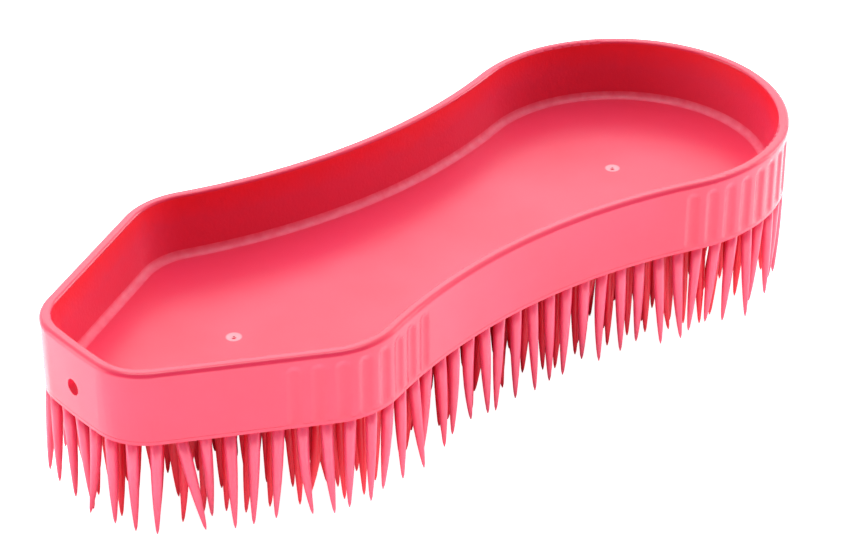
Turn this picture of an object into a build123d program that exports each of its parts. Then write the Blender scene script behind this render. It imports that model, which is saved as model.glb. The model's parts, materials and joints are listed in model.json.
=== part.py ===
"""Moulded plastic grooming brush.

A shallow tray with a figure-eight outline is held in one hand, with the fingers along its fluted sides. A
thin plate under the tray carries tapered bristles: two rows that follow the outline and a staggered field
of straight rows inside them.

Millimetres. +X runs from the narrow toe to the round head and +Z is up. The origin is on the surface that
the bristle tips stand on, under the middle of the length.
"""
import os
from math import acos, atan2, degrees, radians, sqrt, tan

from build123d import *

# Outline seen from above: the toe's shallow end, its two corners, straight flanks, round shoulders, a
# hollow waist and a round head, all meeting without a corner
LENGTH = 175.0
TOE_END_RADIUS = 163.0
TOE_CORNER_RADIUS = 12.1
TOE_CORNER_SPACING = 13.6
SHOULDER_RADIUS = 16.5
SHOULDER_WIDTH = 70.4
SHOULDER_FROM_TOE = 43.0
WAIST_RADIUS = 120.0
HEAD_RADIUS = 34.9

# Shell: wall, rim and tray floor
SHELL_HEIGHT = 14.5
FLOOR_THICKNESS = 1.35
RIM_WIDTH = 2.3
INNER_WALL_DRAFT = 5.5
RIM_OUTER_ROUND = 1.0
RIM_INNER_ROUND = 0.6
FLOOR_FILLET = 1.5
FOOT_CHAMFER = 0.06

# Finger flutes down the outside of the wall, in a group on each shoulder and each side of the head
FLUTE_COUNT = 8
FLUTE_PITCH = 4.5
FLUTE_RADIUS = 2.2
FLUTE_DEPTH = 0.5
FLUTE_EDGE_ROUND = 1.5
PLAIN_BAND = 2.0
SHOULDER_FLUTES_FROM_TOE = 60.5
HEAD_FLUTES_FROM_TIP = 51.5

# Hanging hole through the toe's end wall
HANGING_HOLE_DIAMETER = 3.3
HANGING_HOLE_ABOVE_FOOT = 5.9

# Gate marks on the tray floor: a shallow dish round the stub of each sprue
GATE_MARK_DIAMETER = 3.0
GATE_MARK_DEPTH = 0.2
GATE_STUB_DIAMETER = 0.8
TOE_GATE_FROM_TOE = 36.5
HEAD_GATE_FROM_TIP = 37.5

# Bristle plate and bristles
PLATE_THICKNESS = 0.75
BRISTLE_LENGTH = 21.0
BRISTLE_ROOT_DIAMETER = 2.4
BRISTLE_MIDDLE_DIAMETER = 1.95
BRISTLE_TIP_DIAMETER = 0.6
BRISTLE_END_DIAMETER = 0.35
BRISTLE_END_BEVEL = 0.15
BRISTLE_PITCH = 4.5
ROW_SPACING = 3.7
PLATE_MARGIN = 0.1
FIELD_GAP = 2.9

# Levels and ends
PLATE_BOTTOM = BRISTLE_LENGTH
SHELL_BOTTOM = PLATE_BOTTOM + PLATE_THICKNESS
FLOOR_TOP = SHELL_BOTTOM + FLOOR_THICKNESS
RIM_TOP = SHELL_BOTTOM + SHELL_HEIGHT
TOE = -LENGTH / 2
HEAD_TIP = LENGTH / 2
OUTER_ROW_INSET = BRISTLE_ROOT_DIAMETER / 2 + PLATE_MARGIN


def arc_about(centre, start, end):
    """The shorter arc from start to end about centre."""
    middle = (start - centre + end - centre).normalized() * (start - centre).length
    return ThreePointArc(start, centre + middle, end)


def towards(centre, other, distance):
    """The point at a distance from centre, in the direction of other."""
    return centre + (other - centre).normalized() * distance


def half_outline(inset=0.0):
    """The +Y half of the outline from the toe's middle to the head's tip, moved inwards by inset."""
    end_centre = Vector(TOE + TOE_END_RADIUS, 0)
    corner_y = TOE_CORNER_SPACING / 2
    corner_reach = sqrt((TOE_END_RADIUS - TOE_CORNER_RADIUS) ** 2 - corner_y**2)
    corner = Vector(end_centre.X - corner_reach, corner_y)
    shoulder = Vector(TOE + SHOULDER_FROM_TOE, SHOULDER_WIDTH / 2 - SHOULDER_RADIUS)
    head = Vector(HEAD_TIP - HEAD_RADIUS, 0)

    # The flank touches the corner's and the shoulder's circles on the same side
    flank = shoulder - corner
    tilt = acos((TOE_CORNER_RADIUS - SHOULDER_RADIUS) / flank.length)
    normal = Vector(1, 0).rotate(Axis.Z, degrees(atan2(flank.Y, flank.X) + tilt))

    # The waist's circle lies outside and touches the shoulder's and the head's circles
    span = head - shoulder
    to_shoulder = WAIST_RADIUS + SHOULDER_RADIUS
    to_head = WAIST_RADIUS + HEAD_RADIUS
    along = (to_shoulder**2 - to_head**2 + span.length**2) / (2 * span.length)
    across = sqrt(to_shoulder**2 - along**2)
    direction = span.normalized()
    waist = shoulder + direction * along + Vector(-direction.Y, direction.X) * across

    toe_middle = Vector(TOE + inset, 0)
    toe_end = towards(end_centre, corner, TOE_END_RADIUS - inset)
    flank_start = corner + normal * (TOE_CORNER_RADIUS - inset)
    flank_end = shoulder + normal * (SHOULDER_RADIUS - inset)
    waist_start = towards(shoulder, waist, SHOULDER_RADIUS - inset)
    waist_end = towards(head, waist, HEAD_RADIUS - inset)
    head_tip = Vector(HEAD_TIP - inset, 0)
    return Wire([
        arc_about(end_centre, toe_middle, toe_end),
        arc_about(corner, toe_end, flank_start),
        Line(flank_start, flank_end),
        arc_about(shoulder, flank_end, waist_start),
        arc_about(waist, waist_start, waist_end),
        arc_about(head, waist_end, head_tip),
    ])


def outline(inset=0.0):
    """The face inside the whole outline, moved inwards by inset."""
    side = half_outline(inset)
    half = make_face([*side.edges(), Line(side @ 1, side @ 0)])
    return half + mirror(half, Plane.XZ)


def both_sides(points):
    """The points with their mirror images across the XZ plane, those on the plane taken once."""
    return points + [Vector(p.X, -p.Y) for p in points if abs(p.Y) > BRISTLE_ROOT_DIAMETER / 2]


def tray_hollow():
    """The space inside the wall: it narrows downwards and ends in a fillet round the floor."""
    hollow = extrude(Pos(0, 0, RIM_TOP) * outline(RIM_WIDTH), RIM_TOP - FLOOR_TOP, dir=(0, 0, -1),
                     taper=INNER_WALL_DRAFT)
    return fillet(hollow.faces().sort_by(Axis.Z)[0].edges(), FLOOR_FILLET)


def flutes():
    """The round-ended grooves, from the foot of the wall up to the plain band under the rim."""
    half_width = sqrt(2 * FLUTE_RADIUS * FLUTE_DEPTH - FLUTE_DEPTH**2)
    height = SHELL_HEIGHT - PLAIN_BAND - half_width
    cylinder = Cylinder(FLUTE_RADIUS, height + FLUTE_RADIUS, align=(Align.CENTER, Align.CENTER, Align.MAX))
    groove = Pos(0, 0, SHELL_BOTTOM + height) * (cylinder + Sphere(FLUTE_RADIUS))
    side = half_outline()
    first = -(FLUTE_COUNT - 1) / 2
    cutters = []
    for middle in (SHOULDER_FLUTES_FROM_TOE, side.length - HEAD_FLUTES_FROM_TIP):
        for step in range(FLUTE_COUNT):
            distance = middle + (first + step) * FLUTE_PITCH
            tangent = side.tangent_at(distance, position_mode=PositionMode.LENGTH)
            outwards = Vector(-tangent.Y, tangent.X)
            centre = side.position_at(distance, position_mode=PositionMode.LENGTH)
            centre += outwards * (FLUTE_RADIUS - FLUTE_DEPTH)
            cutters += [Pos(centre.X, y) * groove for y in (centre.Y, -centre.Y)]
    return cutters


def fluted_block():
    """The shell before it is hollowed, with the flutes cut in its side and their edges softened."""
    plain = extrude(Pos(0, 0, SHELL_BOTTOM) * outline(), SHELL_HEIGHT)
    grooves = flutes()
    cut = plain - grooves
    borders = [edge for edge in new_edges(plain, *grooves, combined=cut)
               if edge.bounding_box().max.Z > SHELL_BOTTOM + FOOT_CHAMFER]
    return fillet(borders, FLUTE_EDGE_ROUND)


def grip_shell():
    """Wall, rim, tray floor, flutes, hanging hole and gate marks, one moulding."""
    shell = fluted_block()
    shell = fillet(shell.faces().sort_by(Axis.Z)[-1].edges(), RIM_OUTER_ROUND)
    shell = chamfer(shell.faces().sort_by(Axis.Z)[0].edges(), FOOT_CHAMFER)
    shell -= tray_hollow()
    shell = fillet(shell.faces().sort_by(Axis.Z)[-1].inner_wires()[0].edges(), RIM_INNER_ROUND)

    # The wall is as thick as the rim at its top and thickens downwards with the draft
    hole_level = SHELL_BOTTOM + HANGING_HOLE_ABOVE_FOOT
    wall = RIM_WIDTH + (RIM_TOP - hole_level) * tan(radians(INNER_WALL_DRAFT))
    hole = Cylinder(HANGING_HOLE_DIAMETER / 2, 2 * wall, rotation=(0, 90, 0))
    shell -= Pos(TOE + wall / 2, 0, hole_level) * hole

    # A dish of this radius is GATE_MARK_DEPTH deep where it is GATE_MARK_DIAMETER across
    dish_radius = (GATE_MARK_DIAMETER**2 / 4 + GATE_MARK_DEPTH**2) / (2 * GATE_MARK_DEPTH)
    stub = Cylinder(GATE_STUB_DIAMETER / 2, GATE_MARK_DEPTH, align=(Align.CENTER, Align.CENTER, Align.MAX))
    for x in (TOE + TOE_GATE_FROM_TOE, HEAD_TIP - HEAD_GATE_FROM_TIP):
        shell -= Pos(x, 0, FLOOR_TOP - GATE_MARK_DEPTH + dish_radius) * Sphere(dish_radius)
        shell += Pos(x, 0, FLOOR_TOP) * stub
    return shell


def bristle_plate():
    """The flat plate under the shell; its edge is the lip along the foot of the wall."""
    return extrude(Pos(0, 0, PLATE_BOTTOM) * outline(), PLATE_THICKNESS)


def bristle():
    """One straight pin, thinning faster near its end: bevelled end on z = 0, root against the plate."""
    profile = Polyline(
        (0, 0),
        (BRISTLE_END_DIAMETER / 2, 0),
        (BRISTLE_TIP_DIAMETER / 2, BRISTLE_END_BEVEL),
        (BRISTLE_MIDDLE_DIAMETER / 2, BRISTLE_LENGTH / 2),
        (BRISTLE_ROOT_DIAMETER / 2, BRISTLE_LENGTH),
        (0, BRISTLE_LENGTH),
        close=True,
    )
    return revolve(Plane.XZ * make_face(profile), Axis.Z)


def contour_row(inset, count, shift):
    """Points along the outline at an inset: count steps from toe to head, the first at shift steps."""
    side = half_outline(inset)
    return both_sides([side.position_at((step + shift) / count) for step in range(count + 1)
                       if step + shift <= count])


def field_rows():
    """Staggered straight rows across the brush, clear of the two rows that follow the outline."""
    face = outline().face()
    edge = face.outer_wire()
    clear = OUTER_ROW_INSET + ROW_SPACING + FIELD_GAP
    rows = []
    for line in range(int(LENGTH / ROW_SPACING)):
        x = TOE + clear + line * ROW_SPACING
        stagger = (line % 2) * BRISTLE_PITCH / 2
        steps = int(SHOULDER_WIDTH / BRISTLE_PITCH)
        candidates = [Vector(x, stagger + step * BRISTLE_PITCH) for step in range(steps)]
        row = [p for p in candidates if face.is_inside(p) and edge.distance_to(p) >= clear]
        if row:
            rows.append(both_sides(row))
    return rows


def main():
    """Write each sub-part to its own STEP file."""
    pin = bristle()
    outer_count = round(half_outline(OUTER_ROW_INSET).length / BRISTLE_PITCH)
    rows = {
        "outer_bristle_row": contour_row(OUTER_ROW_INSET, outer_count, 0.0),
        "second_bristle_row": contour_row(OUTER_ROW_INSET + ROW_SPACING, outer_count, 0.5),
    }
    for number, row in enumerate(field_rows(), 1):
        rows[f"field_bristle_row_{number:02d}"] = row

    os.makedirs("parts", exist_ok=True)
    export_step(grip_shell(), "parts/grip_shell.step")
    export_step(bristle_plate(), "parts/bristle_plate.step")
    for name, points in rows.items():
        pins = Compound(children=[Pos(point) * pin for point in points])
        export_step(pins, f"parts/{name}.step")
    print("bristles", sum(len(points) for points in rows.values()), "in", len(rows), "rows")


main()
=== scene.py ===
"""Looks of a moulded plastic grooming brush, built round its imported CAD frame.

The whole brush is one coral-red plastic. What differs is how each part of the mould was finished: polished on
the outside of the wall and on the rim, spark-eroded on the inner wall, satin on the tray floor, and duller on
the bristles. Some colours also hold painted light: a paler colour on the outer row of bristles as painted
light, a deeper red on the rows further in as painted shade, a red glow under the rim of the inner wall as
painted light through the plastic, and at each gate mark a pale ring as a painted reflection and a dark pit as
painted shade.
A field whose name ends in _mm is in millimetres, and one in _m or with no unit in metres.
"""

import json
import logging
import math
from collections.abc import Callable
from dataclasses import dataclass
from enum import Enum, IntEnum
from typing import Any

import bmesh
import bpy
import numpy as np
from mathutils import Matrix, Vector
from mathutils.bvhtree import BVHTree

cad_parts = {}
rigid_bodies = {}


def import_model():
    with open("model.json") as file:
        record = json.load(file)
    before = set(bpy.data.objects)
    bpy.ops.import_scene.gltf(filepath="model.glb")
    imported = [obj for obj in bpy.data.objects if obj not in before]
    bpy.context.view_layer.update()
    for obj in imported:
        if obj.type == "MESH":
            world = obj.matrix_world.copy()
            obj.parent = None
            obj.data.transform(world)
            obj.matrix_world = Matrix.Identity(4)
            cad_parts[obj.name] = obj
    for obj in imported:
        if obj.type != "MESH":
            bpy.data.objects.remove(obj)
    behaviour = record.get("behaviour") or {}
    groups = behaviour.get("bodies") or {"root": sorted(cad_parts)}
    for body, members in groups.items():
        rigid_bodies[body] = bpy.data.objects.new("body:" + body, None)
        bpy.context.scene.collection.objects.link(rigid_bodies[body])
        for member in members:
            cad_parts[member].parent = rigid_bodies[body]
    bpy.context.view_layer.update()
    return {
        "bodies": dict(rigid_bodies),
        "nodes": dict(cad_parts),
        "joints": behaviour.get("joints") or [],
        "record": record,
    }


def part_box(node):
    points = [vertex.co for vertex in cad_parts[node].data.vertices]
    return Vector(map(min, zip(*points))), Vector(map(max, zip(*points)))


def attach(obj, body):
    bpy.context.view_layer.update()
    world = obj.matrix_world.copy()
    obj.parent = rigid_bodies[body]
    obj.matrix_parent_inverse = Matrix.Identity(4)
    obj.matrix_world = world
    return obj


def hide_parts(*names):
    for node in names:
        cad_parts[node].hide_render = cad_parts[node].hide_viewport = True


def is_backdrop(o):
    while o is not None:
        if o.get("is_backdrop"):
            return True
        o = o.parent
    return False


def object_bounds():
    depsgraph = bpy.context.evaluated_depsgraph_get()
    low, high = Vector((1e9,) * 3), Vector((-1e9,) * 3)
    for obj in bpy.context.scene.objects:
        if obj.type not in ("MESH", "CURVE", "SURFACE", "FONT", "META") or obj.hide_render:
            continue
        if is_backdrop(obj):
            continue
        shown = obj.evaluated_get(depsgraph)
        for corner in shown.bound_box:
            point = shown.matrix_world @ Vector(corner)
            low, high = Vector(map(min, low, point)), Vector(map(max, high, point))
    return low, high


LOG = logging.getLogger("grooming_brush")
MM = 0.001
ROOT_BODY = "root"

# How far light strays inside the plastic, and how much further red goes than green and blue
SCATTER_MM = 1.2
SCATTER_BY_COLOUR = (1.0, 0.25, 0.3)
# A round mark starts and is whole at these shares of its width from its middle, so that its edge is soft
MARK_STARTS, MARK_WHOLE = 0.6, 0.4
# A face whose normal rises less than this is a side, not a top or a bottom
UPRIGHT_SINE = 0.5
# The melt's noise seldom leaves this range
NOISE_LOW, NOISE_HIGH = 0.3, 0.7


class Hue(Enum):
    """The plastic's colours, among them painted light and painted shade, and the studio's, as sRGB hex
    values.
    """

    CORAL = "#EE3C62"
    # Painted light on the outer bristles, then painted shade on the bristles further in
    PAINTED_LIT_CORAL = "#F65C80"
    PAINTED_SHADE_RED = "#F01E30"
    DEEP_CORAL = "#E8304F"
    # A glow of painted light through the plastic under the rim
    PAINTED_BACKLIGHT_RED = "#FF1F2B"
    # Painted shade in the gate pits
    PAINTED_PIT_SHADE = "#A81030"
    FROSTED = "#F7758F"
    # Pale specks of the grain, and the painted reflection round the gate marks
    PALE_SPECK_AND_SHEEN = "#FFC4CE"
    PAPER = "#FAFAFA"
    DAYLIGHT = "#FFFFFF"


def linear_rgb(colour: Hue) -> tuple[float, float, float, float]:
    """Turns an sRGB hex colour into the linear colour that a shader takes.

    Args:
        colour: the named colour.

    Returns:
        Red, green, blue and an alpha of 1, all linear.
    """
    shares = [int(colour.value[start:start + 2], 16) / 255 for start in (1, 3, 5)]
    linear = [s / 12.92 if s <= 0.04045 else ((s + 0.055) / 1.055) ** 2.4 for s in shares]
    return linear[0], linear[1], linear[2], 1.0


def add_node(tree: bpy.types.NodeTree, kind: str, inputs: dict[Any, Any] | None = None,
             **settings: Any) -> bpy.types.Node:
    """Adds one node, with its properties set and its inputs filled or linked.

    Args:
        tree: the shader or geometry tree that gets the node.
        kind: Blender's identifier of the node's type.
        inputs: input name or number against a value, or against the output socket to link from.
        **settings: the node's own properties.

    Returns:
        The new node.
    """
    node = tree.nodes.new(kind)
    for name, value in settings.items():
        setattr(node, name, value)
    for key, value in (inputs or {}).items():
        if isinstance(value, bpy.types.NodeSocket):
            tree.links.new(value, node.inputs[key])
        else:
            node.inputs[key].default_value = value
    return node


@dataclass(frozen=True)
class MouldedPolypropylene:
    """Coral polypropylene as it left one finish of the mould.

    Polypropylene is slightly waxy: light goes a little way in, so edges and thin pins glow rather than turn
    black, and its gloss is that of the steel it was pressed against.

    Attributes:
        name: the material's name.
        colour: the plastic's own colour.
        shade: the colour it drifts to along the flow of the melt.
        roughness: of the gloss where the grain is at its mean.
        roughness_spread: how far the roughness drifts from patch to patch.
        grain_mm: distance from bump to bump of the mould's texture.
        grain_depth_mm: its height.
        flow_mm: distance between the melt's faint lighter and darker patches.
        speck_mm: width of the pale specks, or 0 for none.
        speck_spacing: from speck to speck, in widths of a speck.
        speck_strength: how much paler a speck is.
        translucency: share of the light that scatters inside.
        ior: refractive index, which sets how strong the gloss is.
    """

    name: str
    colour: Hue = Hue.CORAL
    shade: Hue = Hue.DEEP_CORAL
    roughness: float = 0.25
    roughness_spread: float = 0.06
    grain_mm: float = 1.0
    grain_depth_mm: float = 0.004
    flow_mm: float = 22.0
    speck_mm: float = 0.0
    speck_spacing: float = 60.0
    speck_strength: float = 0.7
    translucency: float = 0.12
    ior: float = 1.5

    def material(self) -> bpy.types.Material:
        """Builds the node material.

        Returns:
            The finished material, on Object coordinates.
        """
        material = bpy.data.materials.new(self.name)
        material.use_nodes = True
        tree = material.node_tree
        tree.nodes.clear()
        place = add_node(tree, "ShaderNodeTexCoord").outputs["Object"]
        flow = add_node(tree, "ShaderNodeTexNoise",
                        {"Vector": place, "Scale": 1 / (self.flow_mm * MM), "Detail": 3.0, "Roughness": 0.5})
        grain = add_node(tree, "ShaderNodeTexNoise",
                         {"Vector": place, "Scale": 1 / (self.grain_mm * MM), "Detail": 2.0,
                          "Roughness": 0.55})
        colour = add_node(tree, "ShaderNodeMix",
                          {"Factor": flow.outputs["Fac"], "A": linear_rgb(self.colour),
                           "B": linear_rgb(self.shade)}, data_type="RGBA").outputs["Result"]
        if self.speck_mm:
            colour = self._specked(tree, place, colour)
        roughness = add_node(tree, "ShaderNodeMapRange",
                             {"Value": flow.outputs["Fac"], "From Min": NOISE_LOW, "From Max": NOISE_HIGH,
                              "To Min": self.roughness - self.roughness_spread,
                              "To Max": self.roughness + self.roughness_spread})
        bump = add_node(tree, "ShaderNodeBump",
                        {"Height": grain.outputs["Fac"], "Strength": 1.0,
                         "Distance": self.grain_depth_mm * MM})
        plastic = add_node(tree, "ShaderNodeBsdfPrincipled",
                           {"Base Color": self._marked(tree, place, colour),
                            "Roughness": roughness.outputs["Result"],
                            "Normal": bump.outputs["Normal"], "IOR": self.ior,
                            "Subsurface Weight": self.translucency, "Subsurface Scale": SCATTER_MM * MM,
                            "Subsurface Radius": SCATTER_BY_COLOUR})
        add_node(tree, "ShaderNodeOutputMaterial", {"Surface": plastic.outputs["BSDF"]})
        return material

    def _marked(self, tree: bpy.types.NodeTree, place: bpy.types.NodeSocket,
                colour: bpy.types.NodeSocket) -> bpy.types.NodeSocket:
        """Adds what only one place on the brush has: nothing on a plain finish."""
        return colour

    def _specked(self, tree: bpy.types.NodeTree, place: bpy.types.NodeSocket,
                 colour: bpy.types.NodeSocket) -> bpy.types.NodeSocket:
        """Scatters a few pale specks, thinly spread, over a colour.

        Args:
            tree: the material's tree.
            place: the coordinates to scatter them on.
            colour: the colour under them.

        Returns:
            The colour with the specks on it.
        """
        spacing = self.speck_spacing * self.speck_mm
        cells = add_node(tree, "ShaderNodeTexVoronoi", {"Vector": place, "Scale": 1 / (spacing * MM)})
        inside = add_node(tree, "ShaderNodeMapRange",
                          {"Value": cells.outputs["Distance"],
                           "From Min": MARK_STARTS * self.speck_mm / spacing,
                           "From Max": MARK_WHOLE * self.speck_mm / spacing, "To Max": self.speck_strength})
        return add_node(tree, "ShaderNodeMix",
                        {"Factor": inside.outputs["Result"], "A": colour, "B": linear_rgb(Hue.PALE_SPECK_AND_SHEEN)},
                        data_type="RGBA").outputs["Result"]


@dataclass(frozen=True)
class PaintedBacklightWall(MouldedPolypropylene):
    """The inner wall, with a painted glow of daylight through the plastic where it is thinnest, just under
    the rim.

    Attributes:
        rim_level: height of the rim's top, in metres.
        glow_mm: how far down the painted glow reaches.
        raggedness: how far patches break up the lower edge of the glow.
        patch_mm: from patch to patch.
        strength: of the painted glow at its brightest.
    """

    rim_level: float = 0.0
    glow_mm: float = 6.0
    raggedness: float = 0.6
    patch_mm: float = 3.0
    strength: float = 0.7

    def _marked(self, tree: bpy.types.NodeTree, place: bpy.types.NodeSocket,
                colour: bpy.types.NodeSocket) -> bpy.types.NodeSocket:
        """Paints a purer red towards the rim, a painted glow of light through the plastic.

        Args:
            tree: the material's tree.
            place: its coordinates.
            colour: the colour so far.

        Returns:
            The colour with the glow in it.
        """
        spot = add_node(tree, "ShaderNodeSeparateXYZ", {"Vector": place})
        patches = add_node(tree, "ShaderNodeTexNoise",
                           {"Vector": place, "Scale": 1 / (self.patch_mm * MM), "Detail": 3.0})
        height = add_node(tree, "ShaderNodeMapRange",
                          {"Value": spot.outputs["Z"], "From Min": self.rim_level - self.glow_mm * MM,
                           "From Max": self.rim_level, "To Min": -self.raggedness / 2, "To Max": 1.0},
                          clamp=False)
        glow = add_node(tree, "ShaderNodeMath",
                        {0: patches.outputs["Fac"], 1: self.raggedness, 2: height.outputs["Result"]},
                        operation="MULTIPLY_ADD", use_clamp=True)
        share = add_node(tree, "ShaderNodeMath", {0: glow.outputs[0], 1: self.strength}, operation="MULTIPLY")
        return add_node(tree, "ShaderNodeMix",
                        {"Factor": share.outputs[0], "A": colour, "B": linear_rgb(Hue.PAINTED_BACKLIGHT_RED)},
                        data_type="RGBA").outputs["Result"]


@dataclass(frozen=True)
class GatedFloor(MouldedPolypropylene):
    """The tray floor: round each gate, a pale ring of painted reflection and a dark pit of painted shade.

    Attributes:
        gates: the middle of each gate mark, in metres.
        ring_mm: width of the pale ring of painted reflection.
        ring_strength: how much paler it is.
        pit_mm: width of the dark pit of painted shade.
    """

    gates: tuple[tuple[float, float, float], ...] = ()
    ring_mm: float = 3.0
    ring_strength: float = 0.6
    pit_mm: float = 0.55

    def _marked(self, tree: bpy.types.NodeTree, place: bpy.types.NodeSocket,
                colour: bpy.types.NodeSocket) -> bpy.types.NodeSocket:
        """Paints the gate marks: a pale ring of painted reflection and a dark pit of painted shade.

        Args:
            tree: the material's tree.
            place: its coordinates.
            colour: the colour so far.

        Returns:
            The colour with the marks on it.
        """
        for gate in self.gates:
            away_from = add_node(tree, "ShaderNodeVectorMath", {0: place, 1: gate}, operation="DISTANCE")
            # A pale ring of painted reflection, then a dark pit of painted shade
            for width, hue, most in ((self.ring_mm, Hue.PALE_SPECK_AND_SHEEN, self.ring_strength),
                                     (self.pit_mm, Hue.PAINTED_PIT_SHADE, 1.0)):
                inside = add_node(tree, "ShaderNodeMapRange",
                                  {"Value": away_from.outputs["Value"], "From Min": MARK_STARTS * width * MM,
                                   "From Max": MARK_WHOLE * width * MM, "To Max": most},
                                  interpolation_type="SMOOTHSTEP")
                colour = add_node(tree, "ShaderNodeMix",
                                  {"Factor": inside.outputs["Result"], "A": colour, "B": linear_rgb(hue)},
                                  data_type="RGBA").outputs["Result"]
        return colour


# Moulded against polished steel: the eye sees long, soft highlights that waver a little where the wall shrank
POLISHED_WALL = MouldedPolypropylene("polished_polypropylene", roughness=0.2, roughness_spread=0.03,
                                     grain_mm=9.0, grain_depth_mm=0.012, translucency=0.0)
# Frosted in the fillet round the floor: a pale, matt line, broken up by a coarse grain
SATIN_STRIP = MouldedPolypropylene("satin_strip_polypropylene", colour=Hue.FROSTED, shade=Hue.CORAL,
                                   roughness=0.5, roughness_spread=0.05, grain_mm=0.7, grain_depth_mm=0.05,
                                   flow_mm=2.2)
# Pins of the outer row: slightly dull, drawn plastic, given a paler colour as painted light because the row
# faces the light
PAINTED_LIT_BRISTLE = MouldedPolypropylene("bristle_polypropylene", colour=Hue.PAINTED_LIT_CORAL, shade=Hue.CORAL,
                                     roughness=0.33, roughness_spread=0.05, grain_mm=3.0, grain_depth_mm=0.01,
                                     flow_mm=9.0, translucency=0.25, ior=1.55)
# Pins further in: the same plastic, given a purer, deeper red as painted shade for light that has passed
# through other pins
PAINTED_SHADE_BRISTLE = MouldedPolypropylene("painted_shade_bristle_polypropylene", colour=Hue.PAINTED_SHADE_RED,
                                      shade=Hue.DEEP_CORAL, roughness=0.33, roughness_spread=0.05,
                                      grain_mm=3.0, grain_depth_mm=0.01, flow_mm=9.0, translucency=0.25,
                                      ior=1.4)


def welded_copy(source: bpy.types.Object, name: str, weld_mm: float, sharp_deg: float,
                reshape: Callable[[bmesh.types.BMesh], None] | None = None) -> bpy.types.Object:
    """Copies a CAD node as one connected, smoothly shaded mesh.

    Args:
        source: the CAD node's object, which is left alone.
        name: the new piece's name.
        weld_mm: corners nearer than this become one.
        sharp_deg: edges that turn further than this stay crisp.
        reshape: what changes the copy's shape once it is welded.

    Returns:
        The new object, linked into the scene.
    """
    work = bmesh.new()
    work.from_mesh(source.data)
    bmesh.ops.remove_doubles(work, verts=work.verts, dist=weld_mm * MM)
    if reshape:
        reshape(work)
        work.normal_update()
    for face in work.faces:
        face.smooth = True
    for edge in work.edges:
        edge.smooth = edge.calc_face_angle(0.0) <= math.radians(sharp_deg)
    mesh = bpy.data.meshes.new(name)
    work.to_mesh(mesh)
    work.free()
    if "custom_normal" in mesh.attributes:
        mesh.attributes.remove(mesh.attributes["custom_normal"])
    piece = bpy.data.objects.new(name, mesh)
    bpy.context.scene.collection.objects.link(piece)
    weighted = piece.modifiers.new("even_shading", "WEIGHTED_NORMAL")
    weighted.keep_sharp = True
    weighted.weight = 100
    bake_modifiers(piece)
    return piece


def bake_modifiers(piece: bpy.types.Object) -> None:
    """Turns a piece's evaluated shape into its plain mesh and removes its modifiers.

    Args:
        piece: the object, whose modifiers are live.
    """
    evaluated = piece.evaluated_get(bpy.context.evaluated_depsgraph_get())
    mesh = bpy.data.meshes.new_from_object(evaluated, preserve_all_data_layers=True,
                                           depsgraph=bpy.context.evaluated_depsgraph_get())
    piece.modifiers.clear()
    piece.data = mesh
    mesh.name = piece.name


def hand_over(piece: bpy.types.Object, slot: str, *nodes: str) -> None:
    """Sets a finished piece on the frame in place of its CAD nodes.

    Args:
        piece: the finished piece.
        slot: not used.
        *nodes: the CAD nodes that it stands for.
    """
    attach(piece, ROOT_BODY)
    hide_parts(*nodes)
    LOG.info("%s: %d faces, in place of %d CAD nodes", piece.name, len(piece.data.polygons), len(nodes))


class ShellFinish(IntEnum):
    """The shell's mould finishes, in the order of its material slots."""

    POLISHED = 0
    ERODED = 1
    SATIN = 2
    FROSTED = 3


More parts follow.
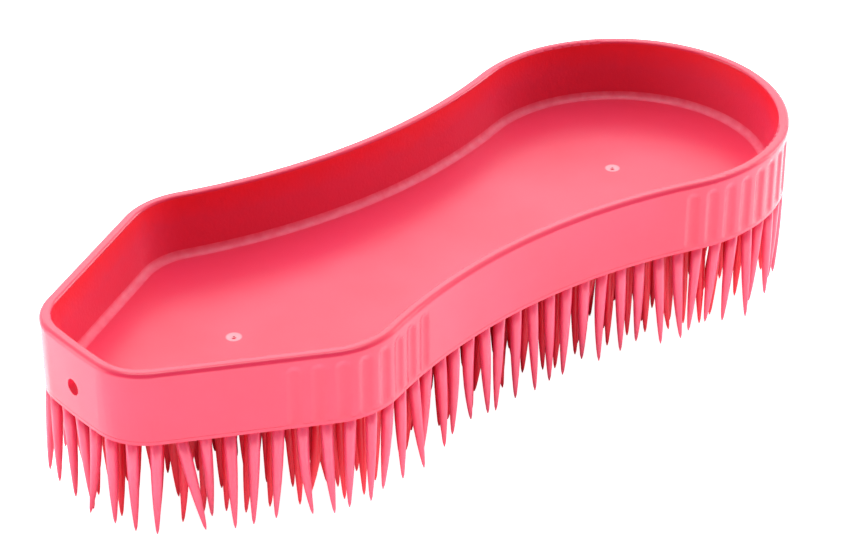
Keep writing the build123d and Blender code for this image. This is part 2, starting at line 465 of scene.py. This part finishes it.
@dataclass
class GripShell:
    """The tray that the hand holds: polished outside, eroded and satin inside.

    Attributes:
        node: the CAD node it is copied from.
        weld_mm: corners nearer than this are one.
        sharp_deg: edges that turn further than this stay crisp.
        dish_mm: more than the depth of a gate mark below the tray floor.
        flat_cos: least upward share of a normal on the tray floor and in its gate marks.
        draft_cos: least upward share of a normal on the drafted inner wall.
        rim_mm: depth of the polished rim below its top.
        floor_mm: height of the tray floor above the shell's foot.
        fillet_mm: height of the fillet round the tray floor.
        gates_mm: distance of the gate marks from the toe and from the head's tip.
        plate_node: the CAD node of the plate under the shell.
        run_out_mm: height over which the flutes run out at the foot, onto the edge of the plate.
        flush_mm: a foot corner this near the plate's edge stays, as does one higher than this.
        flute_mm: more than the depth of a flute.
    """

    node: str = "grip_shell"
    weld_mm: float = 0.002
    sharp_deg: float = 40.0
    dish_mm: float = 1.0
    flat_cos: float = 0.9
    draft_cos: float = 0.05
    rim_mm: float = 1.0
    floor_mm: float = 1.35
    fillet_mm: float = 1.4
    gates_mm: tuple[float, float] = (36.5, 37.5)
    plate_node: str = "bristle_plate"
    run_out_mm: float = 1.1
    flush_mm: float = 0.08
    flute_mm: float = 1.0

    def build(self, frame: dict[str, Any]) -> bpy.types.Object:
        """Copies the shell, gives each mould finish its faces and sets it on the frame.


        Returns:
            The finished shell.
        """
        edge_of_plate = self.plate_edge(frame["nodes"][self.plate_node])
        piece = welded_copy(frame["nodes"][self.node], "moulded_grip_shell", self.weld_mm, self.sharp_deg,
                            lambda work: self.run_flutes_out(work, edge_of_plate))
        low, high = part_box(self.node)
        # In the order of ShellFinish
        for finish in (POLISHED_WALL, self.inner_wall(high.z), self.tray_floor(low, high), SATIN_STRIP):
            piece.data.materials.append(finish.material())
        floor, rim_foot = low.z + self.floor_mm * MM, high.z - self.rim_mm * MM
        for face in piece.data.polygons:
            level, up = face.center.z, face.normal.z
            if floor - self.dish_mm * MM < level < floor + self.weld_mm * MM and up > self.flat_cos:
                face.material_index = ShellFinish.SATIN
            elif floor < level < floor + self.fillet_mm * MM and up > self.draft_cos:
                face.material_index = ShellFinish.FROSTED
            elif floor < level < rim_foot and up > self.draft_cos:
                face.material_index = ShellFinish.ERODED
        hand_over(piece, "shell", self.node)
        return piece

    @staticmethod
    def plate_edge(plate: bpy.types.Object) -> BVHTree:
        """Gives the upright edge of the plate as something to find the nearest point of.

        Args:
            plate: the plate's CAD node, which is only read.

        Returns:
            The search tree of its side faces.
        """
        corners = [vertex.co for vertex in plate.data.vertices]
        upright = [tuple(face.vertices) for face in plate.data.polygons if abs(face.normal.z) < UPRIGHT_SINE]
        return BVHTree.FromPolygons(corners, upright)

    def run_flutes_out(self, work: bmesh.types.BMesh, edge_of_plate: BVHTree) -> None:
        """Lets the flutes run out at the foot, where the wall meets the edge of the plate.

        Args:
            work: the shell's mesh, which is changed.
            edge_of_plate: the upright edge of the plate.
        """
        foot = min(vertex.co.z for vertex in work.verts)
        bmesh.ops.bisect_plane(work, geom=work.verts[:] + work.edges[:] + work.faces[:],
                               plane_co=(0.0, 0.0, foot + self.run_out_mm * MM), plane_no=(0.0, 0.0, 1.0))
        for vertex in work.verts:
            if vertex.co.z < foot + self.flush_mm * MM:
                spot, _, _, distance = edge_of_plate.find_nearest(vertex.co)
                if self.flush_mm * MM < distance < self.flute_mm * MM:
                    vertex.co.x, vertex.co.y = spot.x, spot.y

    @staticmethod
    def inner_wall(rim_level: float) -> PaintedBacklightWall:
        """Gives the spark-eroded wall's finish, sandy and matt to the eye, with a painted glow under a rim at
        a level.
        """
        return PaintedBacklightWall("spark_eroded_polypropylene", roughness=0.42, roughness_spread=0.05, grain_mm=0.55,
                           grain_depth_mm=0.05, speck_mm=0.35, rim_level=rim_level)

    def tray_floor(self, low: Vector, high: Vector) -> GatedFloor:
        """Gives the tray floor's finish, with the painted gate marks where the shell's box puts them.

        Args:
            low: the shell's lowest corner.
            high: its highest corner.

        Returns:
            The finish.
        """
        # Satin steel leaves a fine, even haze, with the gates as the only marks
        level = low.z + self.floor_mm * MM
        toe_gate, head_gate = self.gates_mm
        gates = ((low.x + toe_gate * MM, 0.0, level), (high.x - head_gate * MM, 0.0, level))
        return GatedFloor("satin_polypropylene", roughness=0.34, roughness_spread=0.04, grain_mm=0.5,
                          grain_depth_mm=0.006, speck_mm=0.4, gates=gates)


@dataclass
class BristlePlate:
    """The thin plate whose edge shows as a lip under the wall.

    Attributes:
        node: the CAD node it is copied from.
        weld_mm: corners nearer than this are one.
        sharp_deg: edges that turn further than this stay crisp.
    """

    node: str = "bristle_plate"
    weld_mm: float = 0.002
    sharp_deg: float = 40.0

    def build(self, frame: dict[str, Any]) -> bpy.types.Object:
        """Copies the plate and sets it on the frame.


        Returns:
            The finished plate.
        """
        piece = welded_copy(frame["nodes"][self.node], "moulded_bristle_plate", self.weld_mm, self.sharp_deg)
        piece.data.materials.append(POLISHED_WALL.material())
        hand_over(piece, "plate", self.node)
        return piece


@dataclass
class BristleRows:
    """A group of bristle rows, grown from the tips of their CAD pins.

    Attributes:
        name: the piece's name.
        prefix: what the names of its CAD nodes start with.
        seed: of everything random in the group.
        finish: of its plastic, whose colour is painted light on the outer row and painted shade on the rows
            further in.
        root_mm: a pin's width where it leaves the plate.
        tip_mm: its width just before its rounded end.
        fullness: how long a pin stays wide: 1 is a plain cone.
        sink_mm: how far its root goes into the plate.
        lean_deg: the usual tilt of a pin.
        curl_mm: how far the most bent pins curl at the tip.
        rarity: how few pins are bent or lean far; higher is fewer.
        shortest: length of the shortest pin, as a share of the longest.
        sides: corners of a pin's section.
        rings: stretches along a pin, shorter towards the tip.
        crowding: how much shorter the stretches get towards the tip.
        curls: bent versions of the pin to choose from.
        least_lean: tilt of the pins that lean least, in usual tilts.
        extra_lean: how much more the rarest pins lean, in usual tilts.
        end_share: length of the rounded end, as a share of the pin.
        end_slice_mm: CAD corners this near the lowest one are on the pins' ends.
        same_pin_mm: corners nearer than this along the plate are on one pin.
    """

    name: str
    prefix: str
    seed: int
    finish: MouldedPolypropylene = PAINTED_LIT_BRISTLE
    root_mm: float = 2.4
    tip_mm: float = 0.5
    fullness: float = 2.3
    sink_mm: float = 0.3
    lean_deg: float = 3.4
    curl_mm: float = 2.4
    rarity: float = 5.0
    shortest: float = 0.96
    sides: int = 8
    rings: int = 7
    crowding: float = 1.6
    curls: int = 6
    least_lean: float = 0.8
    extra_lean: float = 2.0
    end_share: float = 0.02
    end_slice_mm: float = 0.01
    same_pin_mm: float = 1.0

    def build(self, frame: dict[str, Any]) -> bpy.types.Object:
        """Grows the pins and sets them on the frame.


        Returns:
            The finished group of pins, one mesh.
        """
        nodes = sorted(name for name in frame["nodes"] if name.startswith(self.prefix))
        roots = [root for node in nodes for root in self.roots(frame["nodes"][node])]
        mesh = bpy.data.meshes.new(self.name)
        mesh.from_pydata(roots, [], [])
        piece = bpy.data.objects.new(self.name, mesh)
        bpy.context.scene.collection.objects.link(piece)
        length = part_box(nodes[0])[1].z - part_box(nodes[0])[0].z
        finish = self.finish.material()
        sizes = {
            "Root Width": self.root_mm * MM,
            "Tip Width": self.tip_mm * MM,
            "Length": length,
            "Sink": self.sink_mm * MM,
            "Fullness": self.fullness,
            "Lean": math.radians(self.lean_deg),
            "Curl": self.curl_mm * MM,
            "Shortest": self.shortest,
            "Seed": self.seed,
            "Finish": finish,
        }
        tree = self.tree(sizes)
        grown = piece.modifiers.new("grow_bristles", "NODES")
        grown.node_group = tree
        for item in tree.interface.items_tree:
            if item.in_out == "INPUT" and item.name in sizes:
                grown[item.identifier] = sizes[item.name]
        bake_modifiers(piece)
        hand_over(piece, "bristle", *nodes)
        return piece

    def roots(self, node: bpy.types.Object) -> list[tuple[float, float, float]]:
        """Finds where the pins of a CAD node stand, from the middles of their ends.

        Args:
            node: the CAD node's object, a group of upright pins.

        Returns:
            The middle of each pin's root, in metres.
        """
        points = np.empty(len(node.data.vertices) * 3, np.float32)
        node.data.vertices.foreach_get("co", points)
        points = points.reshape(-1, 3).astype(float)
        top = points[:, 2].max()
        ends = points[points[:, 2] < points[:, 2].min() + self.end_slice_mm * MM]
        pins: list[list[np.ndarray]] = []
        for end in ends:
            near = [pin for pin in pins if np.hypot(*(pin[0] - end)[:2]) < self.same_pin_mm * MM]
            if near:
                near[0].append(end)
            else:
                pins.append([end])
        middles = [(np.min(pin, axis=0) + np.max(pin, axis=0)) / 2 for pin in pins]
        return [(float(m[0]), float(m[1]), float(top)) for m in middles]

    def tree(self, sizes: dict[str, Any]) -> bpy.types.NodeTree:
        """Builds the tree that puts a leaning, curled pin on each root.

        Args:
            sizes: the tree's inputs, by name.

        Returns:
            The node group.
        """
        tree = bpy.data.node_groups.new(f"{self.name}_tree", "GeometryNodeTree")
        tree.interface.new_socket("Roots", in_out="INPUT", socket_type="NodeSocketGeometry")
        for name, value in sizes.items():
            kind = {float: "NodeSocketFloat", int: "NodeSocketInt"}.get(type(value), "NodeSocketMaterial")
            tree.interface.new_socket(name, in_out="INPUT", socket_type=kind)
        tree.interface.new_socket("Pins", in_out="OUTPUT", socket_type="NodeSocketGeometry")
        given = add_node(tree, "NodeGroupInput").outputs

        # Most pins lean by about the usual tilt, and a few by several times that
        seeds = [add_node(tree, "ShaderNodeMath", {0: given["Seed"], 1: float(number)},
                          operation="ADD").outputs[0] for number in range(5)]
        chance = add_node(tree, "FunctionNodeRandomValue", {"Seed": seeds[0]}, data_type="FLOAT")
        rare = add_node(tree, "ShaderNodeMath", {0: chance.outputs["Value"], 1: self.rarity},
                        operation="POWER")
        stretch = add_node(tree, "ShaderNodeMath",
                           {0: rare.outputs[0], 1: self.extra_lean, 2: self.least_lean},
                           operation="MULTIPLY_ADD")
        tilt = add_node(tree, "ShaderNodeMath", {0: given["Lean"], 1: stretch.outputs[0]},
                        operation="MULTIPLY")
        way = add_node(tree, "FunctionNodeRandomValue",
                       {"Min": (-1.0, -1.0, 0.0), "Max": (1.0, 1.0, 0.0), "Seed": seeds[1]},
                       data_type="FLOAT_VECTOR")
        lean = add_node(tree, "ShaderNodeVectorMath", {0: way.outputs["Value"], "Scale": tilt.outputs[0]},
                        operation="SCALE")
        turn = add_node(tree, "FunctionNodeRandomValue",
                        {"Min": (0.0, 0.0, -math.pi), "Max": (0.0, 0.0, math.pi), "Seed": seeds[2]},
                        data_type="FLOAT_VECTOR")
        pose = add_node(tree, "ShaderNodeVectorMath", {0: lean.outputs["Vector"], 1: turn.outputs["Value"]},
                        operation="ADD")
        rotation = add_node(tree, "FunctionNodeEulerToRotation", {"Euler": pose.outputs["Vector"]})
        height = add_node(tree, "FunctionNodeRandomValue",
                          {"Min": given["Shortest"], "Max": 1.0, "Seed": seeds[3]}, data_type="FLOAT")
        scale = add_node(tree, "ShaderNodeCombineXYZ", {"X": 1.0, "Y": 1.0, "Z": height.outputs["Value"]})
        luck = add_node(tree, "FunctionNodeRandomValue", {"Seed": seeds[4]}, data_type="FLOAT")
        bent = add_node(tree, "ShaderNodeMath", {0: luck.outputs["Value"], 1: self.rarity}, operation="POWER")
        version = add_node(tree, "ShaderNodeMath", {0: bent.outputs[0], 1: float(self.curls - 1)},
                           operation="MULTIPLY")
        planted = add_node(tree, "GeometryNodeInstanceOnPoints",
                           {"Points": given["Roots"], "Instance": self.pin_versions(tree, given),
                            "Pick Instance": True, "Instance Index": version.outputs[0],
                            "Rotation": rotation.outputs["Rotation"], "Scale": scale.outputs["Vector"]})
        real = add_node(tree, "GeometryNodeRealizeInstances", {"Geometry": planted.outputs["Instances"]})
        dressed = add_node(tree, "GeometryNodeSetMaterial",
                           {"Geometry": real.outputs["Geometry"], "Material": given["Finish"]})
        add_node(tree, "NodeGroupOutput", {"Pins": dressed.outputs["Geometry"]})
        return tree

    def pin_versions(self, tree: bpy.types.NodeTree, given: Any) -> bpy.types.NodeSocket:
        """Builds one pin hanging from the origin, and bends it by a growing amount into several versions.

        Args:
            tree: the tree that gets the nodes.
            given: the outputs of the tree's Group Input.

        Returns:
            The versions as instances, straightest first.
        """
        rod = add_node(tree, "GeometryNodeMeshCylinder",
                       {"Vertices": self.sides, "Side Segments": self.rings, "Radius": 1.0, "Depth": 1.0},
                       fill_type="NGON")
        spot = add_node(tree, "ShaderNodeSeparateXYZ",
                        {"Vector": add_node(tree, "GeometryNodeInputPosition").outputs["Position"]})
        rise = add_node(tree, "ShaderNodeMath", {0: spot.outputs["Z"], 1: 0.5}, operation="ADD",
                        use_clamp=True)
        from_tip = add_node(tree, "ShaderNodeMath", {0: rise.outputs[0], 1: self.crowding}, operation="POWER")
        along = add_node(tree, "ShaderNodeMath", {0: 1.0, 1: from_tip.outputs[0]}, operation="SUBTRACT")

        # Half the width: full at the root, thinning faster and faster to the tip, whose end is rounded off
        thinned = add_node(tree, "ShaderNodeMath", {0: along.outputs[0], 1: given["Fullness"]},
                           operation="POWER")
        width = add_node(tree, "ShaderNodeMapRange",
                         {"Value": thinned.outputs[0], "To Min": given["Root Width"],
                          "To Max": given["Tip Width"]})
        rounding = add_node(tree, "ShaderNodeMapRange",
                            {"Value": from_tip.outputs[0], "From Max": self.end_share, "To Min": 0.25,
                             "To Max": 0.5})
        radius = add_node(tree, "ShaderNodeMath", {0: width.outputs["Result"], 1: rounding.outputs["Result"]},
                          operation="MULTIPLY")
        across = add_node(tree, "ShaderNodeMath", {0: spot.outputs["X"], 1: radius.outputs[0]},
                          operation="MULTIPLY")
        aside = add_node(tree, "ShaderNodeMath", {0: spot.outputs["Y"], 1: radius.outputs[0]},
                         operation="MULTIPLY")
        whole = add_node(tree, "ShaderNodeMath", {0: given["Length"], 1: given["Sink"]}, operation="ADD")
        drop = add_node(tree, "ShaderNodeMath", {0: along.outputs[0], 1: whole.outputs[0]},
                        operation="MULTIPLY")
        level = add_node(tree, "ShaderNodeMath", {0: given["Sink"], 1: drop.outputs[0]}, operation="SUBTRACT")
        place = add_node(tree, "ShaderNodeCombineXYZ",
                         {"X": across.outputs[0], "Y": aside.outputs[0], "Z": level.outputs[0]})
        straight = add_node(tree, "GeometryNodeSetPosition",
                            {"Geometry": rod.outputs["Mesh"], "Position": place.outputs["Vector"]})
        smooth = add_node(tree, "GeometryNodeSetShadeSmooth", {"Geometry": straight.outputs["Geometry"]})

        versions = add_node(tree, "GeometryNodeGeometryToInstance")
        depth = add_node(tree, "ShaderNodeSeparateXYZ",
                         {"Vector": add_node(tree, "GeometryNodeInputPosition").outputs["Position"]})
        share = add_node(tree, "ShaderNodeMath", {0: depth.outputs["Z"], 1: given["Length"]},
                         operation="DIVIDE")
        bend = add_node(tree, "ShaderNodeMath", {0: share.outputs[0], 1: share.outputs[0]},
                        operation="MULTIPLY")
        # The last one linked is the first to be picked from
        for number in reversed(range(self.curls)):
            strength = number / (self.curls - 1)
            reach = add_node(tree, "ShaderNodeMath", {0: given["Curl"], 1: strength}, operation="MULTIPLY")
            shift = add_node(tree, "ShaderNodeMath", {0: bend.outputs[0], 1: reach.outputs[0]},
                             operation="MULTIPLY")
            offset = add_node(tree, "ShaderNodeCombineXYZ", {"X": shift.outputs[0]})
            bent = add_node(tree, "GeometryNodeSetPosition",
                            {"Geometry": smooth.outputs["Geometry"], "Offset": offset.outputs["Vector"]})
            tree.links.new(bent.outputs["Geometry"], versions.inputs["Geometry"])
        return versions.outputs["Instances"]


@dataclass(frozen=True)
class SoftPanel:
    """One soft light panel of the studio.

    Attributes:
        name: the light's name.
        azimuth_deg: where it stands round the brush; 0 is in front, looking along +Y.
        elevation_deg: how high it stands.
        distance_m: from the brush.
        width_m: of the panel.
        height_m: of the panel.
        watts: its power.
    """

    name: str
    azimuth_deg: float
    elevation_deg: float
    distance_m: float
    width_m: float
    height_m: float
    watts: float

    def build(self, centre: Vector) -> None:
        """Hangs the panel, facing the brush.

        Args:
            centre: the middle of the brush.
        """
        back = away(self.azimuth_deg, self.elevation_deg)
        data = bpy.data.lights.new(self.name, "AREA")
        data.shape = "RECTANGLE"
        data.size, data.size_y = self.width_m, self.height_m
        data.energy = self.watts
        data.color = linear_rgb(Hue.DAYLIGHT)[:3]
        lamp = bpy.data.objects.new(self.name, data)
        lamp.location = centre + back * self.distance_m
        lamp.rotation_euler = back.to_track_quat("Z", "Y").to_euler()
        bpy.context.scene.collection.objects.link(lamp)


@dataclass
class Studio:
    """A lit white table in a room that is bright beyond it and dim behind the camera, and the camera.

    Attributes:
        panels: the soft lights.
        back_sky: brightness of the room beyond the brush.
        front_sky: its brightness behind the camera.
        table_glow: light that the lit white table throws on the brush.
        table_white: light by which the camera sees it.
        shade_mm: half the length and half the width of the patch that the brush keeps in the dark.
        shade_edge: where the patch's soft edge begins and ends, as shares of those.
        dim_to: as the cosine of an angle off the camera's heading, where the dim part of the room ends.
        bright_from: and where its bright part begins.
        floor_m: half the floor's width.
        aim_mm: the point that the camera looks at.
        azimuth_deg: where the camera stands.
        elevation_deg: how high it stands.
        roll_deg: its turn about its own axis.
        distance_mm: from the aim.
        lens_mm: its focal length on a 36 mm sensor.
    """

    panels: tuple[SoftPanel, ...] = (
        SoftPanel("top_panel", 140, 84, 1.1, 0.9, 0.3, 3.7),
        SoftPanel("back_panel", 140, 36, 1.3, 1.8, 0.3, 2.2),
        SoftPanel("left_panel", -125, 12, 1.0, 0.6, 0.7, 3.4),
        SoftPanel("right_panel", 75, 15, 1.0, 0.3, 0.7, 2.5),
    )
    back_sky: float = 1.9
    front_sky: float = 0.15
    table_glow: float = 1.3
    table_white: float = 1.0
    shade_mm: tuple[float, float] = (75.0, 25.0)
    shade_edge: tuple[float, float] = (0.9, 1.6)
    dim_to: float = -0.6
    bright_from: float = 0.85
    floor_m: float = 4.0
    aim_mm: tuple[float, float, float] = (-10.9, -8.3, 24.2)
    azimuth_deg: float = -40.38
    elevation_deg: float = 31.46
    roll_deg: float = -0.42
    distance_mm: float = 504.0
    lens_mm: float = 108.9

    def build(self) -> None:
        """Sets the floor, the light and the camera."""
        scene = bpy.context.scene
        low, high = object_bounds()
        scene.view_settings.view_transform = "Standard"
        scene.world = self.room()
        for panel in self.panels:
            panel.build((low + high) / 2)
        self.floor(low.z)
        self.camera()

    def room(self) -> bpy.types.World:
        """Builds the room, whose brightness rises from behind the camera to beyond the brush.

        Returns:
            The world.
        """
        room = bpy.data.worlds.new("studio_room")
        room.use_nodes = True
        tree = room.node_tree
        tree.nodes.clear()
        beyond = -away(self.azimuth_deg, 0)
        way = add_node(tree, "ShaderNodeTexCoord").outputs["Generated"]
        ahead = add_node(tree, "ShaderNodeVectorMath", {0: way, 1: tuple(beyond)}, operation="DOT_PRODUCT")
        light = add_node(tree, "ShaderNodeMapRange",
                         {"Value": ahead.outputs["Value"], "From Min": self.dim_to,
                          "From Max": self.bright_from, "To Min": self.front_sky, "To Max": self.back_sky},
                         interpolation_type="SMOOTHSTEP")
        air = add_node(tree, "ShaderNodeBackground",
                       {"Color": linear_rgb(Hue.DAYLIGHT), "Strength": light.outputs["Result"]})
        add_node(tree, "ShaderNodeOutputWorld", {"Surface": air.outputs["Background"]})
        return room

    def floor(self, level: float) -> None:
        """Lays the lit white table, which gives no light under the brush and looks white to the camera.

        Args:
            level: the height that the bristle tips stand on.
        """
        half = self.floor_m
        mesh = bpy.data.meshes.new("studio_floor")
        mesh.from_pydata([(-half, -half, level), (half, -half, level), (half, half, level),
                          (-half, half, level)], [], [(0, 1, 2, 3)])
        paper = bpy.data.materials.new("studio_paper")
        paper.use_nodes = True
        tree = paper.node_tree
        tree.nodes.clear()
        half_length, half_width = (side * MM for side in self.shade_mm)
        place = add_node(tree, "ShaderNodeTexCoord").outputs["Object"]
        spread = add_node(tree, "ShaderNodeVectorMath",
                          {0: place, 1: (1 / half_length, 1 / half_width, 0.0)}, operation="MULTIPLY")
        reach = add_node(tree, "ShaderNodeVectorMath", {0: spread.outputs["Vector"]}, operation="LENGTH")
        thrown = add_node(tree, "ShaderNodeMapRange",
                          {"Value": reach.outputs["Value"], "From Min": self.shade_edge[0],
                           "From Max": self.shade_edge[1], "To Max": self.table_glow},
                          interpolation_type="SMOOTHSTEP")
        glow = add_node(tree, "ShaderNodeMix",
                        {"Factor": add_node(tree, "ShaderNodeLightPath").outputs["Is Camera Ray"],
                         "A": thrown.outputs["Result"], "B": self.table_white}).outputs["Result"]
        matt = add_node(tree, "ShaderNodeBsdfPrincipled",
                        {"Base Color": linear_rgb(Hue.PAPER), "Roughness": 0.9, "Specular IOR Level": 0.2,
                         "Emission Color": linear_rgb(Hue.DAYLIGHT), "Emission Strength": glow})
        add_node(tree, "ShaderNodeOutputMaterial", {"Surface": matt.outputs["BSDF"]})
        mesh.materials.append(paper)
        floor = bpy.data.objects.new("studio_floor", mesh)
        bpy.context.scene.collection.objects.link(floor)
        floor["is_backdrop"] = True

    def camera(self) -> None:
        """Sets up the camera."""
        back = away(self.azimuth_deg, self.elevation_deg)
        data = bpy.data.cameras.new("studio_camera")
        data.lens = self.lens_mm
        data.sensor_width = 36.0
        data.clip_start, data.clip_end = 0.05, 20.0
        camera = bpy.data.objects.new("studio_camera", data)
        turn = back.to_track_quat("Z", "Y").to_matrix() @ Matrix.Rotation(math.radians(self.roll_deg), 3, "Z")
        camera.matrix_world = (Matrix.Translation(Vector(self.aim_mm) * MM + back * self.distance_mm * MM)
                               @ turn.to_4x4())
        bpy.context.scene.collection.objects.link(camera)
        bpy.context.scene.camera = camera


def away(azimuth_deg: float, elevation_deg: float) -> Vector:
    """Gives the direction from the brush to a place round it.

    Args:
        azimuth_deg: 0 is in front, where a camera looks along +Y.
        elevation_deg: above the horizon.

    Returns:
        The direction, of length 1.
    """
    a, e = math.radians(azimuth_deg), math.radians(elevation_deg)
    return Vector((math.sin(a) * math.cos(e), -math.cos(a) * math.cos(e), math.sin(e)))


def main() -> None:
    """Builds the studio and every piece, in order."""
    logging.basicConfig(level=logging.INFO, format="%(name)s: %(message)s")
    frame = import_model()
    Studio().build()
    GripShell().build(frame)
    BristlePlate().build(frame)
    # The outer row keeps the default finish, pale with painted light; the rows further in are deep red with
    # painted shade
    BristleRows("outer_bristles", "outer_bristle_row", seed=11).build(frame)
    BristleRows("second_bristles", "second_bristle_row", seed=23, finish=PAINTED_SHADE_BRISTLE).build(frame)
    BristleRows("field_bristles", "field_bristle_row", seed=37, finish=PAINTED_SHADE_BRISTLE).build(frame)


if __name__ == "__main__":
    main()
